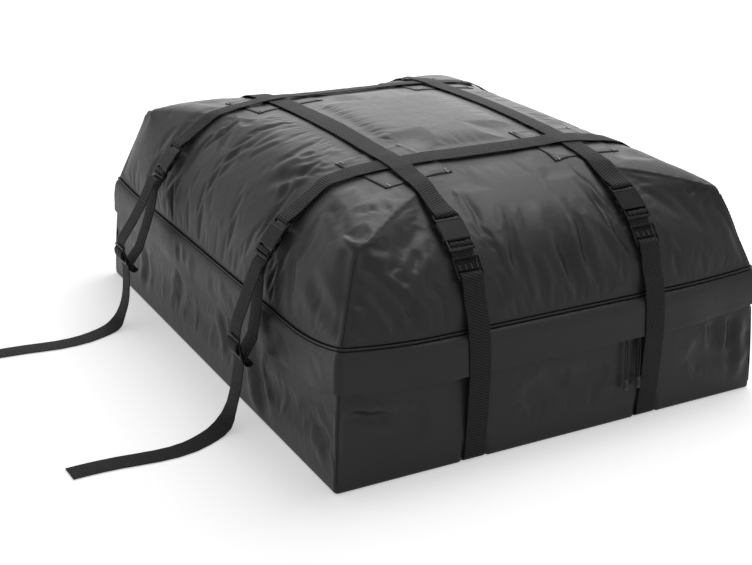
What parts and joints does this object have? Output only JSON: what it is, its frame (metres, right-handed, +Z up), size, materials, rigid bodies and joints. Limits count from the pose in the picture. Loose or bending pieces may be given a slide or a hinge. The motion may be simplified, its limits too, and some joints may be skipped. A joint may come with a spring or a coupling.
{
  "type": "roof cargo bag",
  "caption": "Soft weatherproof roof cargo bag with a zipped lid under a rain flap, crossed webbing straps, side-release buckles, slides and hanging strap loops.",
  "frame": {"origin": "middle of the bag's base on the plane it rests on, below the middle of its overall outline without the free strap tails", "axes": "+Z up, Y along the bag's length with the front face towards -Y, X across the front face; the free strap tails lie on the -X side"},
  "size_m": [1.2384, 1.0164, 0.4126],
  "materials": {
    "fabric": "satin coated weave",
    "trim": "satin coated piping",
    "patch": "satin coated weave",
    "webbing": "matt ribbed webbing",
    "pull": "matt cord",
    "zip": "matt tape and coil",
    "plastic": "satin moulded"
  },
  "bodies": {
    "bag": {"buckle_plug_back_left": "plastic", "buckle_plug_back_right": "plastic", "buckle_plug_front_left": "plastic", "buckle_plug_front_right": "plastic", "buckle_plug_left_back": "plastic", "buckle_plug_left_front": "plastic", "buckle_plug_right_back": "plastic", "buckle_plug_right_front": "plastic", "buckle_socket_back_left": "plastic", "buckle_socket_back_right": "plastic", "buckle_socket_front_left": "plastic", "buckle_socket_front_right": "plastic", "buckle_socket_left_back": "plastic", "buckle_socket_left_front": "plastic", "buckle_socket_right_back": "plastic", "buckle_socket_right_front": "plastic", "cross_strap_top_back": "webbing", "cross_strap_top_front": "webbing", "lid": "fabric", "long_strap_top_left": "webbing", "long_strap_top_right": "webbing", "long_strap_under_left": "webbing", "long_strap_under_right": "webbing", "patch_back_left": "patch", "patch_back_right": "patch", "patch_front_left": "patch", "patch_front_right": "patch", "rain_flap": "fabric", "seam_welt": "trim", "side_loop_left_back": "webbing", "side_loop_left_front": "webbing", "side_loop_right_back": "webbing", "side_loop_right_front": "webbing", "slide_back_left": "plastic", "slide_back_right": "plastic", "slide_front_left": "plastic", "slide_front_right": "plastic", "slide_left_back": "plastic", "slide_left_front": "plastic", "slide_right_back": "plastic", "slide_right_front": "plastic", "tail_left_back": "webbing", "tail_left_front": "webbing", "tub": "fabric", "zip_lower_half": "zip", "zip_upper_half": "zip"},
    "left_slider": {"zip_slider_left": "plastic", "zip_pull_left": "pull"},
    "right_slider": {"zip_slider_right": "plastic", "zip_pull_right": "pull"}
  },
  "joints": [
    {"name": "left_slider_run", "type": "slide", "parent": "bag", "child": "left_slider", "axis": [1, 0, 0], "range_m": [-0.252, 0]},
    {"name": "right_slider_run", "type": "slide", "parent": "bag", "child": "right_slider", "axis": [1, 0, 0], "range_m": [-0.008, 0.002]}
  ]
}
